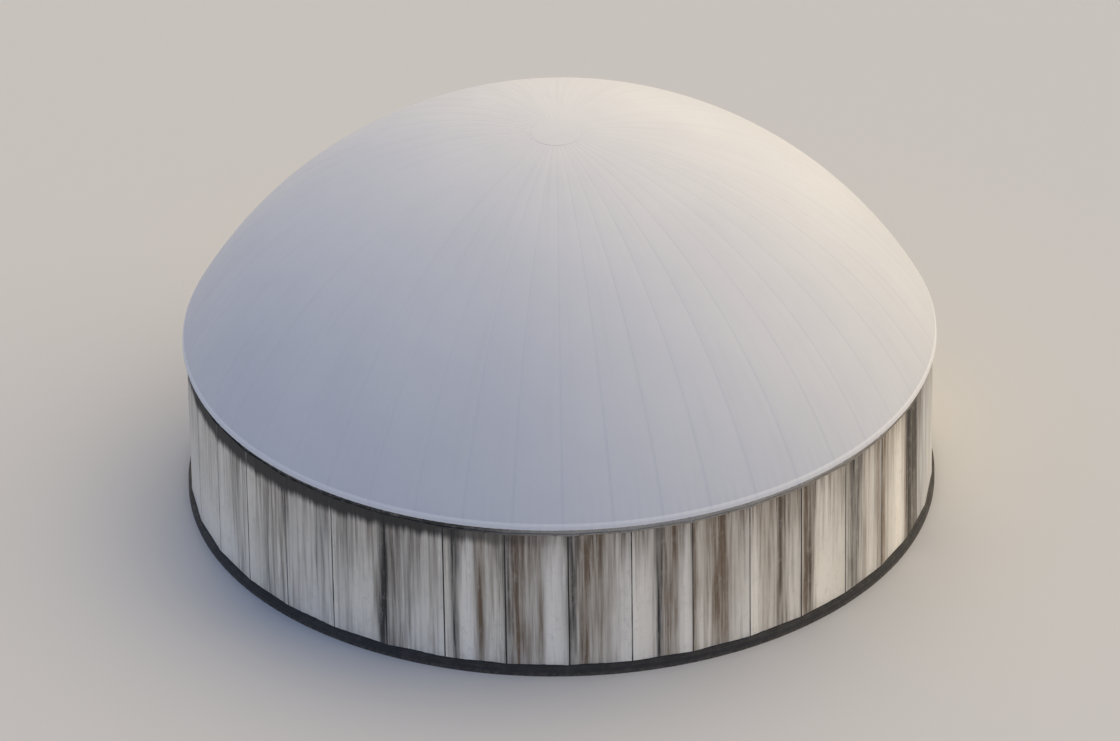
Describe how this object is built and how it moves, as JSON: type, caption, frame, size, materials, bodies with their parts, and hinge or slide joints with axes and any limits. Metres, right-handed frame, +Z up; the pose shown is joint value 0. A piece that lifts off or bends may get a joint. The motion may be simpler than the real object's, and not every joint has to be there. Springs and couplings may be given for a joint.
{
  "type": "biogas digester",
  "caption": "Round biogas digester: a tank of precast concrete wall panels on a floor plate, closed by an air-held membrane dome clamped to the wall top by a steel rail.",
  "frame": {"origin": "middle of the underside of the floor plate, at ground level", "axes": "+Z up along the tank's axis; -Y is the side the picture looks at, +X is to its right"},
  "size_m": [38.3562, 38.3562, 20.1503],
  "materials": {
    "panel_concrete": "matt precast concrete, weathered, with run-off stains",
    "coated_concrete": "bitumen coating on cast concrete, dusty",
    "rail_steel": "dark weathered steel",
    "membrane": "smooth coated polyester membrane, satin, slightly dusty"
  },
  "bodies": {
    "root": {"floor_plate": "coated_concrete", "wall_panel_01": "panel_concrete", "wall_panel_02": "panel_concrete", "wall_panel_03": "panel_concrete", "wall_panel_04": "panel_concrete", "wall_panel_05": "panel_concrete", "wall_panel_06": "panel_concrete", "wall_panel_07": "panel_concrete", "wall_panel_08": "panel_concrete", "wall_panel_09": "panel_concrete", "wall_panel_10": "panel_concrete", "wall_panel_11": "panel_concrete", "wall_panel_12": "panel_concrete", "wall_panel_13": "panel_concrete", "wall_panel_14": "panel_concrete", "wall_panel_15": "panel_concrete", "wall_panel_16": "panel_concrete", "wall_panel_17": "panel_concrete", "wall_panel_18": "panel_concrete", "wall_panel_19": "panel_concrete", "wall_panel_20": "panel_concrete", "wall_panel_21": "panel_concrete", "wall_panel_22": "panel_concrete", "wall_panel_23": "panel_concrete", "wall_panel_24": "panel_concrete", "wall_panel_25": "panel_concrete", "wall_panel_26": "panel_concrete", "wall_panel_27": "panel_concrete", "wall_panel_28": "panel_concrete", "wall_panel_29": "panel_concrete", "wall_panel_30": "panel_concrete", "wall_panel_31": "panel_concrete", "wall_panel_32": "panel_concrete", "wall_panel_33": "panel_concrete", "wall_panel_34": "panel_concrete", "wall_panel_35": "panel_concrete", "wall_panel_36": "panel_concrete", "wall_panel_37": "panel_concrete", "wall_panel_38": "panel_concrete", "clamp_rail_1": "rail_steel", "clamp_rail_2": "rail_steel", "clamp_rail_3": "rail_steel", "clamp_rail_4": "rail_steel", "membrane_dome": "membrane"}
  },
  "joints": []
}
